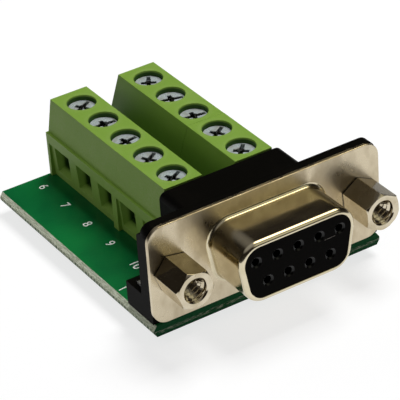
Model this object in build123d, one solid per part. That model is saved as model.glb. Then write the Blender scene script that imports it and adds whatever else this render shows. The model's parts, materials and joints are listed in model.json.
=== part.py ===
from build123d import *
import os
from math import cos, hypot, radians, tan

# A nine-way D-sub socket on a small circuit board, wired out to two rows of five rising-clamp screw terminals.
# Millimetres. X runs along the connector's flange, the mating face looks toward -Y and +Z is up.
# The origin is the middle of the footprint, on the plane on which the trimmed leads stand.

# General
fit_gap = 0.05  # between pieces that are put together by hand
few_sides = 8  # sides of round holes, barrels, shanks and solder that are out of sight
play = 0.1  # between pieces that move past each other

# Contacts and their insulator
contact_pitch = 2.77
contact_row_gap = 2.84
upper_contacts = 5
lower_contacts = 4
face_set = 0.25  # insulator face behind the shell's mouth
entry_radius = 0.6
entry_sink = 0.25  # how far the countersink opens out round an entry
entry_depth = 1.2
entry_sides = 16
barrel_radius = 0.8
barrel_bore = 0.52
barrel_bore_depth = 3.2
barrel_length = 4.0
lead = 0.6  # square section of a contact's tail
lead_bend = 0.6
hole_play = 0.075  # between a lead's corner and its hole in the board
insulator_tail = 2.4  # from the flange's front to the insulator's back
tail_clear = 2.2  # from there to the tails of the lower row

# Connector shell and flange, one drawn sheet
shell_side = 2.625  # from the last upper contact's axis to the shell's side
shell_over = 2.53  # from a row's axis to the shell's top or bottom
shell_width = contact_pitch * (upper_contacts - 1) + 2 * shell_side
shell_height = contact_row_gap + 2 * shell_over
shell_slope = 10.0  # degrees from upright, on each side of the D
shell_corner = 2.6
shell_reach = 6.2  # from the flange's front to the shell's mouth
shell_sheet = 0.45
shell_root = 0.6  # slope where the shell is drawn out of the flange
rim_round = 0.8  # rolled edge round the mouth
rim_lip = 0.9  # from the shell's outside in to the mouth's opening
jack_beside = 4.33  # from the shell's side to a jackscrew's axis
flange_end = 2.91  # from a jackscrew's axis to the flange's end
flange_over = 2.3  # flange above and below the shell
flange_sheet = 0.5
flange_corner = 1.9
flange_lift = 0.05  # flange's lower edge over the board
jack_spacing = shell_width + 2 * jack_beside
jack_x = jack_spacing / 2
flange_width = jack_spacing + 2 * flange_end
flange_height = shell_height + 2 * flange_over
collar_beside = 1.835  # insulator's collar out from the shell's side
collar_over = 1.25
collar_thick = 0.7
collar_corner = 1.0
collar_width = shell_width + 2 * collar_beside
collar_height = shell_height + 2 * collar_over

# Moulded bracket behind the flange
bracket_inset = 0.155  # each side, in from the flange's end
bracket_above = 6.2  # top of its plate over the connector's axis
bracket_corner = 1.3
bracket_plate = 1.3
bracket_width = flange_width - 2 * bracket_inset
hood_beside = 0.135  # hood's side out from the shell's
hood_above = 3.85
hood_wall = 0.8
hood_clear = 0.93  # from the rear tails to the hood's back wall
hood_round = 0.9
hood_back_edge = 0.3
cheek_thick = 0.6
cheek_back = 2.6
cheek_above = 4.6
foot_inside = 2.595  # from a jackscrew's axis to the foot's inner side
foot_height = 3.1

# Jackscrews
jack_flats = 4.3
jack_head = 4.75
jack_stud_radius = 1.38
jack_stud_reach = 5.0  # behind the flange's front
jack_bore_radius = 1.42
jack_bore_depth = 4.4
jack_sink = 0.18
jack_edge_back = 0.3
jack_edge_in = 0.3
jack_turn_left = 50.0
jack_turn_right = 34.0
shell_hole_play = 0.17
bracket_hole_play = 0.22

# Board locks
lock_sheet = 0.4
lock_above = 2.4
lock_hole_play = 0.07
lock_collar_wall = 0.5
lock_collar_reach = 0.9
lock_leg = 4.5  # back of the leg behind the flange's front
lock_leg_half = 1.3
lock_barb = 0.45  # barb out from the leg
lock_tip_in = 0.3
lock_slit = 0.8
lock_slit_depth = 2.6
lock_hole_in_board = 1.6
foot_behind = 1.4  # foot's back behind the leg
lock_half = flange_end - bracket_inset - cheek_thick - fit_gap

# Terminal screws, clamps and solder pins
screw_offset = 4.7  # screw's axis from the middle plane of the object
head_radius = 1.7
head_height = 1.6
shank_radius = 1.22
shank_play = 0.06  # round the shank in the housing's shelf
slot_length = 3.0
slot_width = 0.5
slot_depth = 0.5
cross_length = 1.9
cross_width = 0.55
cross_depth = 0.95
recess_turns = (60, -17, -10, 35, 48, 30, -5, 8, 33, 27)  # degrees, one for each numbered terminal
clamp_reach = 1.6  # each side of the screw's axis, across the row
clamp_side = 0.45
clamp_low = 0.75  # clamp's underside over the board, wound right down
clamp_floor = 0.6
clamp_window = 2.9
clamp_top = 1.0
clamp_edge = 0.3
clamp_travel = 2.0  # from the clamp's top, wound down, to the shelf
pin_sheet = 0.6
pin_leg_half = 0.5
pin_tongue_sheet = 0.5
pin_bend = 0.35

# Terminal housings. Widths run out from the middle plane of the object, heights up from the board.
pitch = 5.08
rear_ways = 3
front_ways = 2
row_inset = 0.2  # housing's back end in from the board's back edge
row_clear = 0.13  # housing's front end behind the hood
row_end = 0.5  # housing's back end beyond its last way
cavity_rib = 1.38  # wall between two ways
cavity_inside = 0.15  # cavity in past the clamp's inner side
cavity_outside = 0.2
housing_inner = 0.1
housing_kink = 3.9
shelf_thick = 0.5
head_below = 0.7  # screw's head under the housing's top
rim_inner = 0.65  # top face beside the screw bore, inward
rim_outer = 0.8
ledge_out = 0.7  # ledge out from the top's edge
lip_out = 0.4  # lip out from the ledge
lip_over = 0.55  # lip out over the base
lip_top = 5.95
lip_bottom = 4.6
lip_step = 0.25
end_wall = 0.55
window_half = 1.35
window_above = 0.05  # wire window's sill over the clamp's floor
window_drop = 0.5  # wire window's top under the clamp's
window_wall = 0.6
funnel_beyond = 1.6  # funnel's outer opening past the window's wall
funnel_below = 0.95
funnel_above = 0.8
tongue_offset = 1.3
tongue_neck = 0.7
tongue_wide = 1.1
tongue_depth = 0.45
tongue_height = 5.0

# Board
board_score = 0.4  # how far the snapped web stands out of the scored sides
board_web = 0.4
board_thick = 1.6
board_set = 0.2  # board's front edge behind the flange's front
lead_stub = 1.4  # leads below the board

# Solder
pad_ring = 0.35  # copper round a contact's hole
pin_pad_ring = 0.55
contact_solder_height = 0.9
pin_solder_height = 1.0
solder_edge = 0.1  # thickness at the rim of a fillet

# Places behind the flange's front that follow
tail_near = insulator_tail + tail_clear
hood_back = tail_near + contact_row_gap + lead / 2 + hood_clear + hood_wall
foot_back = lock_leg + foot_behind
ways_per_row = rear_ways + front_ways
board_length = hood_back - board_set + row_clear + ways_per_row * pitch + row_end + row_inset

# Places in the object's frame that follow
overall_length = shell_reach + board_set + board_length
flange_y = shell_reach - overall_length / 2
flange_back = flange_y + flange_sheet
mouth_y = flange_y - shell_reach
face_y = mouth_y + face_set
plate_back = flange_back + bracket_plate
board_front = flange_y + board_set
board_back = board_front + board_length
board_width = flange_width - 2 * board_score
board_under = lead_stub
board_top = board_under + board_thick
axis_z = board_top + flange_lift + flange_height / 2
cavity_y = face_y + entry_depth
tail_y = {"lower": flange_y + tail_near, "upper": flange_y + tail_near + contact_row_gap}
row_y = {"lower": -contact_row_gap / 2, "upper": contact_row_gap / 2}
row_back = board_back - row_inset - row_end
hood_half = shell_width / 2 + hood_beside
contact_hole = hypot(lead, lead) / 2 + hole_play
pin_hole = hypot(pin_sheet, 2 * pin_leg_half) / 2 + hole_play

# Widths in a terminal, out from the middle plane, that follow
head_bore_radius = head_radius + play
clamp_thread_radius = shank_radius + fit_gap
clamp_inner = screw_offset - clamp_reach
clamp_outer = screw_offset + clamp_reach
cavity_inner = clamp_inner - cavity_inside
cavity_outer = clamp_outer + cavity_outside
cavity_half = (pitch - cavity_rib) / 2
clamp_half = cavity_half - play
pin_inner = cavity_inner - fit_gap - pin_sheet
pin_x = pin_inner + pin_sheet / 2
pin_tongue_half = clamp_half - clamp_side - play
pin_tongue_end = clamp_outer - cavity_outside
funnel_start = cavity_outer + window_wall
funnel_end = funnel_start + funnel_beyond
top_inner = screw_offset - head_bore_radius - rim_inner
top_outer = screw_offset + head_bore_radius + rim_outer
ledge_width = top_outer + ledge_out
lip_width = ledge_width + lip_out
base_width = lip_width - lip_over

# Heights in a terminal, over the board, that follow
clamp_window_low = clamp_low + clamp_floor
clamp_window_high = clamp_window_low + clamp_window
tip_height = clamp_window_high - fit_gap
pin_tongue_top = tip_height - play
shelf_low = clamp_window_high + clamp_top + clamp_travel
shelf_top = shelf_low + shelf_thick
housing_height = shelf_top + fit_gap + head_height + head_below
window_low = clamp_window_low + window_above
window_high = clamp_window_high - window_drop
funnel_low = window_low - funnel_below
funnel_high = window_high + funnel_above


def facing(y, x=0.0, z=0.0):
    """The sketch plane square to Y, looking forward, with its origin x and z from the connector's axis."""
    return Plane(origin=(x, y, axis_z + z), x_dir=(1, 0, 0), z_dir=(0, -1, 0))


def block(x0, x1, y0, y1, z0, z1):
    """A box between two corners."""
    middle = Pos((x0 + x1) / 2, (y0 + y1) / 2, (z0 + z1) / 2)
    return middle * Box(abs(x1 - x0), abs(y1 - y0), abs(z1 - z0))


def post(x, y, z0, z1, radius):
    """An upright cylinder."""
    return Pos(x, y, (z0 + z1) / 2) * Cylinder(radius, abs(z1 - z0))


def prism(x, y, z0, z1, radius):
    """An upright prism of few sides that a cylinder of this radius just fits into."""
    return extrude(Pos(x, y, z0) * RegularPolygon(radius, few_sides, major_radius=False), z1 - z0)


def rod(x, z, y0, y1, radius):
    """A cylinder along Y, x and z from the connector's axis."""
    return extrude(facing(y1, x, z) * Circle(radius), y1 - y0)


def bar(x, z, y0, y1, radius):
    """A prism of few sides along Y that a cylinder of this radius just fits into."""
    return extrude(facing(y1, x, z) * RegularPolygon(radius, few_sides, major_radius=False), y1 - y0)


def profile(points, x0, x1):
    """A slab with its outline in the YZ plane, from x0 to x1."""
    outline = Plane(origin=(x0, 0, 0), x_dir=(0, 1, 0), z_dir=(1, 0, 0)) * make_face(Polyline(*points, close=True))
    return extrude(outline, x1 - x0)


def section(points, y0, y1):
    """A bar with its outline in the XZ plane, from y0 to y1, heights from the standing plane."""
    outline = Plane(origin=(0, y1, 0), x_dir=(1, 0, 0), z_dir=(0, -1, 0)) * make_face(Polyline(*points, close=True))
    return extrude(outline, y1 - y0)


def d_outline(inset):
    """The D-shaped outline, wide side up, moved in by inset from the outside of the shell."""
    lean = tan(radians(shell_slope))
    half = shell_height / 2 - inset
    top = shell_width / 2 - inset * lean - inset / cos(radians(shell_slope))
    bottom = top - 2 * half * lean
    face = make_face(Polyline((-top, half), (top, half), (bottom, -half), (-bottom, -half), close=True))
    return fillet(face.vertices(), shell_corner - inset)


def contact_places():
    """Number, row and X of every contact, in the order of a socket seen from the front."""
    places = []
    for row, count in (("upper", upper_contacts), ("lower", lower_contacts)):
        for step in range(count):
            places.append((len(places) + 1, row, contact_pitch * ((count - 1) / 2 - step)))
    return places


def terminal_place(number):
    """Side and Y of a numbered terminal: the first row on the right, the next on the left, from the back."""
    side = 1 if number <= ways_per_row else -1
    step = (number - 1) % ways_per_row
    return side, row_back - pitch * (step + 0.5)


def front_shell():
    """The flange and the drawn D-shaped shell with its rolled rim."""
    plate = extrude(facing(flange_y) * RectangleRounded(flange_width, flange_height, flange_corner), -flange_sheet)
    drawn = extrude(facing(flange_y) * d_outline(0), shell_reach)
    drawn = fillet(drawn.faces().sort_by(Axis.Y)[0].edges(), rim_round)
    shell = plate + drawn
    root = [
        edge
        for edge in shell.edges().filter_by_position(Axis.Y, flange_y, flange_y)
        if abs(edge.center().X) < shell_width / 2 + fit_gap
        and abs(edge.center().Z - axis_z) < shell_height / 2 + fit_gap
    ]
    shell = chamfer(root, shell_root)
    inside = extrude(facing(flange_back) * d_outline(shell_sheet), flange_sheet + shell_reach - shell_sheet)
    inside = chamfer(inside.faces().sort_by(Axis.Y)[0].edges(), rim_round - shell_sheet)
    mouth = extrude(facing(flange_y) * d_outline(rim_lip), shell_reach + fit_gap)
    shell = shell - inside - mouth
    for side in (-1, 1):
        shell -= bar(side * jack_x, 0, flange_y, flange_back, jack_stud_radius + shell_hole_play)
    return shell


def contact_insulator():
    """The black block that fills the shell, with a flared entry and a cavity for each contact."""
    body_front = mouth_y + shell_sheet + fit_gap
    body = extrude(facing(flange_back) * d_outline(shell_sheet + fit_gap), flange_back - body_front)
    body = chamfer(body.faces().sort_by(Axis.Y)[0].edges(), rim_round - shell_sheet)
    nose = extrude(facing(flange_y) * d_outline(rim_lip + fit_gap), flange_y - face_y)
    collar_shape = RectangleRounded(collar_width, collar_height, collar_corner)
    collar = extrude(facing(flange_back) * collar_shape, -collar_thick)
    tail = extrude(facing(flange_back) * d_outline(shell_sheet + fit_gap), flange_back - flange_y - insulator_tail)
    insulator = body + nose + collar + tail
    for _, row, x in contact_places():
        z = row_y[row]
        insulator -= extrude(facing(cavity_y, x, z) * RegularPolygon(entry_radius, entry_sides), cavity_y - face_y)
        insulator -= bar(x, z, cavity_y, flange_y + insulator_tail, barrel_radius + fit_gap)
    rims = [
        edge
        for edge in insulator.edges().filter_by_position(Axis.Y, face_y, face_y)
        if edge.length < entry_radius / 2
    ]
    return chamfer(rims, entry_sink)


def contact(row, x):
    """A socket contact: a bored barrel in front and a square tail bent down through the board."""
    z = row_y[row]
    front = cavity_y + fit_gap
    back = front + barrel_length
    barrel = bar(x, z, front, back, barrel_radius) - bar(x, z, front, front + barrel_bore_depth, barrel_bore)
    height = axis_z + z
    start = back - lead
    drop = tail_y[row]
    points = (
        (start, height + lead / 2),
        (drop + lead / 2 - lead_bend, height + lead / 2),
        (drop + lead / 2, height + lead / 2 - lead_bend),
        (drop + lead / 2, 0),
        (drop - lead / 2, 0),
        (drop - lead / 2, height - lead_bend),
        (drop - lead_bend, height - lead / 2),
        (start, height - lead / 2),
    )
    return barrel + profile(points, x - lead / 2, x + lead / 2)


def connector_bracket():
    """The black moulding behind the flange: plate, hood over the tails, cheeks and feet."""
    half = bracket_width / 2
    low = board_top - axis_z
    outline = make_face(
        Polyline((-half, low), (half, low), (half, bracket_above), (-half, bracket_above), close=True)
    )
    outline = fillet(outline.vertices().group_by(Axis.Y)[-1], bracket_corner)
    bracket = extrude(facing(flange_back) * outline, -bracket_plate)
    hood_y = flange_y + hood_back
    hood_top = axis_z + hood_above
    hood = block(-hood_half, hood_half, plate_back, hood_y, board_top, hood_top)
    hood = fillet(hood.edges().filter_by(Axis.Y).group_by(Axis.Z)[-1], hood_round)
    back_edges = hood.faces().sort_by(Axis.Y)[-1].edges().filter_by_position(Axis.Z, board_top + fit_gap, hood_top)
    hood = chamfer(back_edges, hood_back_edge)
    bracket += hood
    for side in (-1, 1):
        outer = side * half
        foot_inner = side * (jack_x - foot_inside)
        cheek = (
            (flange_back, board_top),
            (flange_y + foot_back, board_top),
            (flange_y + foot_back, board_top + foot_height),
            (flange_y + cheek_back, board_top + foot_height),
            (flange_y + cheek_back, axis_z + cheek_above),
            (flange_back, axis_z + cheek_above + cheek_back - flange_sheet),
        )
        low_x, high_x = sorted((outer, outer - side * cheek_thick))
        bracket += profile(cheek, low_x, high_x) & block(
            low_x, high_x, flange_back, flange_y + foot_back, board_top, axis_z + bracket_above - bracket_corner
        )
        foot_top = board_top + foot_height
        bracket += block(foot_inner, outer, plate_back, flange_y + foot_back, board_top, foot_top)
    inside = hood_half - hood_wall
    bracket -= block(-inside, inside, plate_back, hood_y - hood_wall, board_top, hood_top - hood_wall)
    notch_y = hood_y + row_clear - tongue_depth - fit_gap
    notch_half = tongue_wide / 2 + fit_gap
    for side in (-1, 1):
        x = side * tongue_offset
        bracket -= block(x - notch_half, x + notch_half, notch_y, hood_y, board_top, board_top + tongue_height)
    collar_shape = RectangleRounded(collar_width + 2 * fit_gap, collar_height + 2 * fit_gap, collar_corner)
    bracket -= extrude(facing(flange_back) * collar_shape, -(collar_thick + fit_gap))
    window_depth = insulator_tail + fit_gap - flange_sheet
    bracket -= extrude(facing(flange_back) * d_outline(shell_sheet), -window_depth)
    leg_front = flange_y + lock_leg - lock_sheet - fit_gap
    leg_back = flange_y + lock_leg + fit_gap
    for side in (-1, 1):
        bracket -= bar(side * jack_x, 0, flange_back, plate_back, jack_stud_radius + bracket_hole_play)
        slot_half = lock_leg_half + fit_gap
        bracket -= block(
            side * jack_x - slot_half, side * jack_x + slot_half, leg_front, leg_back, board_top, axis_z
        )
    return bracket


def jackscrew(side, turn):
    """A hex standoff with a chamfered, countersunk nose, a threaded bore and a stud behind."""
    x = side * jack_x
    corner = jack_flats / 2 / cos(radians(30))
    hexagon = Rotation(0, 0, turn) * RegularPolygon(corner, 6)
    head = extrude(facing(flange_y, x) * hexagon, jack_head)
    turned = extrude(facing(flange_y, x) * Circle(corner), jack_head)
    turned = chamfer(turned.faces().sort_by(Axis.Y)[0].edges(), jack_edge_back, jack_edge_in)
    nose_y = flange_y - jack_head
    screw = (head & turned) + rod(x, 0, flange_y, flange_y + jack_stud_reach, jack_stud_radius)
    screw -= rod(x, 0, nose_y, nose_y + jack_bore_depth, jack_bore_radius)
    sink = extrude(facing(nose_y, x) * Circle(jack_bore_radius + jack_sink), -jack_sink, taper=45)
    return screw - sink


def boardlock(side):
    """A bent metal strap with a collar for the jackscrew and a barbed fork that snaps into the board."""
    x = side * jack_x
    foot_top = board_top + foot_height
    strap_back = plate_back + lock_sheet
    leg_back = flange_y + lock_leg
    bend = (
        (plate_back, foot_top),
        (leg_back, foot_top),
        (leg_back, foot_top + lock_sheet),
        (strap_back, foot_top + lock_sheet),
        (strap_back, axis_z + lock_above),
        (plate_back, axis_z + lock_above),
    )
    lock = profile(bend, x - lock_half, x + lock_half)
    collar_back = strap_back + lock_collar_reach
    bore = jack_stud_radius + lock_hole_play
    lock += rod(x, 0, plate_back, collar_back, bore + lock_collar_wall)
    lock -= bar(x, 0, plate_back, collar_back, bore)
    fork = (
        (x - lock_leg_half, foot_top + lock_sheet),
        (x + lock_leg_half, foot_top + lock_sheet),
        (x + lock_leg_half, board_under),
        (x + lock_leg_half + lock_barb, board_under - fit_gap),
        (x + lock_leg_half - lock_tip_in, 0),
        (x - lock_leg_half + lock_tip_in, 0),
        (x - lock_leg_half - lock_barb, board_under - fit_gap),
        (x - lock_leg_half, board_under),
    )
    lock += section(fork, leg_back - lock_sheet, leg_back)
    half_slit = lock_slit / 2
    return lock - block(x - half_slit, x + half_slit, leg_back - lock_sheet, leg_back, 0, lock_slit_depth)


def circuit_board():
    """The board, its sides snapped off at V-scores, with every hole that a lead goes through."""
    half = board_width / 2
    out = half + board_score
    middle = board_under + board_thick / 2
    web = board_web / 2
    outline = (
        (-half, board_under),
        (half, board_under),
        (out, middle - web),
        (out, middle + web),
        (half, board_top),
        (-half, board_top),
        (-out, middle + web),
        (-out, middle - web),
    )
    board = section(outline, board_front, board_back)
    for _, row, x in contact_places():
        board -= prism(x, tail_y[row], board_under, board_top, contact_hole)
    for number in range(1, 2 * ways_per_row + 1):
        side, y = terminal_place(number)
        board -= prism(side * pin_x, y, board_under, board_top, pin_hole)
    for side in (-1, 1):
        lock_y = flange_y + lock_leg - lock_sheet / 2
        board -= prism(side * jack_x, lock_y, board_under, board_top, lock_hole_in_board)
    return board


def terminal_housing(side, back, ways, beyond=0.0):
    """A moulded module of several ways, with its end so far beyond the last one.

    Its outer face is full of funnels, and its top full of screw bores.
    """
    front = back - ways * pitch
    end = back + beyond
    base = board_top
    outline = (
        (housing_inner, base),
        (base_width, base),
        (lip_width - lip_step, base + lip_bottom),
        (lip_width, base + lip_bottom),
        (lip_width, base + lip_top),
        (ledge_width, base + lip_top),
        (top_outer, base + housing_height),
        (top_inner, base + housing_height),
        (housing_inner, base + housing_kink),
    )
    housing = section(outline, front, end)
    for y in (front, end - end_wall):
        housing += block(base_width - end_wall, lip_width, y, y + end_wall, base, base + lip_top)
    housing += dovetail(front - tongue_depth, front, 0)
    housing -= dovetail(end - tongue_depth, end, fit_gap)
    for step in range(ways):
        y = back - pitch * (step + 0.5)
        housing -= block(
            cavity_inner, cavity_outer, y - cavity_half, y + cavity_half, base, base + shelf_low
        )
        slot_half = pin_leg_half + fit_gap
        housing -= block(
            pin_inner - fit_gap, cavity_inner, y - slot_half, y + slot_half, base, base + pin_tongue_top + fit_gap
        )
        housing -= prism(screw_offset, y, base + shelf_low, base + shelf_top, shank_radius + shank_play)
        housing -= post(screw_offset, y, base + shelf_top, base + housing_height, head_bore_radius)
        housing -= block(
            cavity_outer, funnel_start, y - window_half, y + window_half, base + window_low, base + window_high
        )
        housing -= funnel(y)
    return housing if side > 0 else mirror(housing, about=Plane.YZ)


def dovetail(y0, y1, gap):
    """The upright tongue on a module's front end, or with a gap the groove in its back end."""
    wide_y, narrow_y = y0 - gap, y1
    shape = Polyline(
        (tongue_offset - tongue_wide / 2 - gap, wide_y),
        (tongue_offset + tongue_wide / 2 + gap, wide_y),
        (tongue_offset + tongue_neck / 2 + gap, narrow_y),
        (tongue_offset - tongue_neck / 2 - gap, narrow_y),
        close=True,
    )
    return extrude(Plane.XY.offset(board_top) * make_face(shape), tongue_height - (0 if gap else fit_gap))


def funnel(y):
    """The flared space in front of a wire window: the part that a side view and a plan have in common."""
    side_view = section(
        (
            (funnel_start, board_top + window_low),
            (funnel_end, board_top + funnel_low),
            (funnel_end, board_top + funnel_high),
            (funnel_start, board_top + window_high),
        ),
        y - cavity_half,
        y + cavity_half,
    )
    plan = Polyline(
        (funnel_start, y - window_half),
        (funnel_end, y - cavity_half),
        (funnel_end, y + cavity_half),
        (funnel_start, y + window_half),
        close=True,
    )
    return side_view & extrude(Plane.XY.offset(board_top) * make_face(plan), housing_height)


def terminal_screw(number):
    """A cheese-head screw with a slot and a cross in its head."""
    side, y = terminal_place(number)
    x = side * screw_offset
    low = board_top + shelf_top + fit_gap
    high = low + head_height
    tip = board_top + tip_height
    shank = extrude(Pos(x, y, tip) * RegularPolygon(shank_radius, few_sides), low - tip)
    screw = post(x, y, low, high, head_radius) + shank
    turn = Pos(x, y, high) * Rotation(0, 0, recess_turns[(number - 1) % len(recess_turns)])
    screw -= turn * Pos(0, 0, -slot_depth / 2) * Box(slot_length, slot_width, slot_depth)
    screw -= turn * Pos(0, 0, -cross_depth / 2) * Box(cross_length, cross_width, cross_depth)
    return screw - turn * Pos(0, 0, -cross_depth / 2) * Box(cross_width, cross_length, cross_depth)


def clamp_cage(number):
    """A folded cage, open toward the wire and tapped for the screw through its top, shown wound down."""
    side, y = terminal_place(number)
    low = board_top + clamp_low
    window_bottom = board_top + clamp_window_low
    window_top = board_top + clamp_window_high
    cage = block(clamp_inner, clamp_outer, y - clamp_half, y + clamp_half, low, window_top + clamp_top)
    cage = chamfer(cage.edges().filter_by(Axis.X), clamp_edge)
    inside = clamp_half - clamp_side
    cage -= block(clamp_inner, clamp_outer, y - inside, y + inside, window_bottom, window_top)
    cage -= prism(screw_offset, y, window_top, window_top + clamp_top, clamp_thread_radius)
    return cage if side > 0 else mirror(cage, about=Plane.YZ)


def solder_pin(number):
    """A bent strip: the tongue inside the cage and the leg down through the board."""
    side, y = terminal_place(number)
    tongue_high = board_top + pin_tongue_top
    tongue_low = tongue_high - pin_tongue_sheet
    leg = block(pin_inner, pin_inner + pin_sheet, y - pin_leg_half, y + pin_leg_half, 0, tongue_high)
    neck = block(pin_inner, cavity_inner + fit_gap, y - pin_leg_half, y + pin_leg_half, tongue_low, tongue_high)
    pin = leg + neck
    outer = pin.edges().filter_by(Axis.Y).sort_by(lambda edge: edge.center().Z - edge.center().X)[-1]
    pin = chamfer(outer, pin_bend)
    pin += block(
        cavity_inner + fit_gap, pin_tongue_end, y - pin_tongue_half, y + pin_tongue_half, tongue_low, tongue_high
    )
    return pin if side > 0 else mirror(pin, about=Plane.YZ)


def solder_fillet(x, y, ring, half_x, half_y, height):
    """A fillet of solder under the board, from its copper ring down round a lead of rectangular section."""
    spread = hole_play + ring
    tip = board_under - height
    shape = prism(x, y, tip, board_under, hypot(half_x, half_y) + spread)
    shape = chamfer(shape.faces().sort_by(Axis.Z)[0].edges(), spread, height - solder_edge)
    return shape - block(x - half_x, x + half_x, y - half_y, y + half_y, tip, board_under)


def solder_joints():
    """Every solder fillet under the board."""
    joints = []
    for _, row, x in contact_places():
        joints.append(solder_fillet(x, tail_y[row], pad_ring, lead / 2, lead / 2, contact_solder_height))
    for number in range(1, 2 * ways_per_row + 1):
        side, y = terminal_place(number)
        joints.append(solder_fillet(side * pin_x, y, pin_pad_ring, pin_sheet / 2, pin_leg_half, pin_solder_height))
    return Compound(children=[solid for joint in joints for solid in joint.solids()])


def build():
    """Every sub-part by its name."""
    parts = {
        "circuit_board": circuit_board(),
        "front_shell": front_shell(),
        "contact_insulator": contact_insulator(),
        "connector_bracket": connector_bracket(),
        "jackscrew_left": jackscrew(-1, jack_turn_left),
        "jackscrew_right": jackscrew(1, jack_turn_right),
        "boardlock_left": boardlock(-1),
        "boardlock_right": boardlock(1),
        "solder_joints": solder_joints(),
    }
    for number, row, x in contact_places():
        parts[f"contact_{number}"] = contact(row, x)
    seam = row_back - rear_ways * pitch
    for name, side in (("left", -1), ("right", 1)):
        parts[f"{name}_housing_rear"] = terminal_housing(side, row_back, rear_ways, row_end)
        parts[f"{name}_housing_front"] = terminal_housing(side, seam, front_ways)
    for number in range(1, 2 * ways_per_row + 1):
        parts[f"terminal_screw_{number}"] = terminal_screw(number)
        parts[f"clamp_cage_{number}"] = clamp_cage(number)
        parts[f"solder_pin_{number}"] = solder_pin(number)
    return parts


os.makedirs("parts", exist_ok=True)
for name, shape in build().items():
    export_step(shape, f"parts/{name}.step")
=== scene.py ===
"""Dresses the D-sub terminal adapter: a finish for every part, and the small things they leave out.

Lengths are written in millimetres and turned into metres where a mesh or a light is made. The frame is the
part's own: X along the connector's flange, the mating face toward -Y, +Z up from the plane it stands on.
"""
import json
import logging
from dataclasses import dataclass
from enum import Enum
from math import cos, pi, radians, sin, tau

import bmesh
import bpy
from mathutils import Matrix, Vector

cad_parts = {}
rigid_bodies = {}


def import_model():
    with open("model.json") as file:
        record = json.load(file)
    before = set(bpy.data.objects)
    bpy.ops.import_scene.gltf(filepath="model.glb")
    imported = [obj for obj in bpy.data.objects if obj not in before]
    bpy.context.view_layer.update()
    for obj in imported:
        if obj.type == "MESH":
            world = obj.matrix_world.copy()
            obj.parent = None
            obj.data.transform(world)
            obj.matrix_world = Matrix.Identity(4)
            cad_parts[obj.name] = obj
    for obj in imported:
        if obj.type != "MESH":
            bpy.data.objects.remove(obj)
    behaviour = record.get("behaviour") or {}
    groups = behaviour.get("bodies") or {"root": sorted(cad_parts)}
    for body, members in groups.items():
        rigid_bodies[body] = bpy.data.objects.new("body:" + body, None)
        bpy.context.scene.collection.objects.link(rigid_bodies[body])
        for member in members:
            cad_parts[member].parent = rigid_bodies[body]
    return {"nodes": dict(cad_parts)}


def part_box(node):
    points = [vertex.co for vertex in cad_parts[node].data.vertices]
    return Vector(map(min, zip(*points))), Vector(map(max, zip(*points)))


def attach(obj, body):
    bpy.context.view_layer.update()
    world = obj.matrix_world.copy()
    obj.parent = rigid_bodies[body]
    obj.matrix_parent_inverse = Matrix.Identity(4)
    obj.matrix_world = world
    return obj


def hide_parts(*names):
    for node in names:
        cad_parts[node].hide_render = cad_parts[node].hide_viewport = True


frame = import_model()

log = logging.getLogger("adapter")

MM = 0.001
ROOT = "adapter"
SIDES = ("left", "right")
WAYS = 5
TERMINALS = range(1, len(SIDES) * WAYS + 1)
CONTACTS = range(1, 10)
FLANGE_SHEET = 0.5
WELD_DISTANCE = 0.0005
FLAT_ANGLE = 0.6
MIX_FIRST = 6
MIX_SECOND = 7
MIX_RESULT = 2

Triple = tuple[float, float, float]
Colour = Triple
Band = tuple[float, float]
Ring = list[bmesh.types.BMVert]


def box_mm(node: str) -> tuple[Vector, Vector]:
    """Gives a part's lowest and highest corners.

    Args:
        node: The part's name.

    Returns:
        Both corners in millimetres.
    """
    low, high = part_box(node)
    return Vector(low) / MM, Vector(high) / MM


def middle_mm(node: str) -> Vector:
    """Gives the middle of a part's box in millimetres."""
    low, high = box_mm(node)
    return (low + high) / 2


def flange_front() -> float:
    """Gives the place of the flange's front along Y."""
    _, high = box_mm("front_shell")
    return high.y - FLANGE_SHEET


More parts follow.
